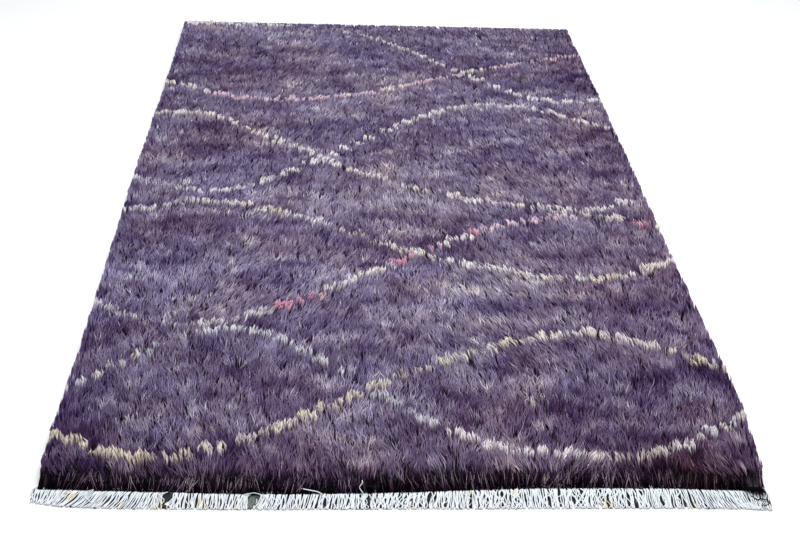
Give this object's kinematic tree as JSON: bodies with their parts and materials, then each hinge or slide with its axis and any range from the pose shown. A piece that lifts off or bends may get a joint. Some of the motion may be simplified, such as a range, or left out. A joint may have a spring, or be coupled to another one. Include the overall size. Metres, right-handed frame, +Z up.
{
  "type": "moroccan rug",
  "caption": "Long-pile shag floor rug lying flat, with a net of wavy lines crossing into lozenges and a warp fringe along one short end.",
  "frame": {"origin": "on the floor plane, at the middle of the bounding box of the rug and its fringe", "axes": "+Z up out of the pile, +Y along the length away from the fringed end, +X across the width"},
  "size_m": [1.719, 2.9096, 0.0475],
  "materials": {
    "pile": "long heathered wool pile, purple grey, dark at the root and pale at the tip",
    "warp": "plain white cotton warp ends, matt"
  },
  "bodies": {
    "root": {"rug": "pile", "fringe": "warp"}
  },
  "joints": []
}
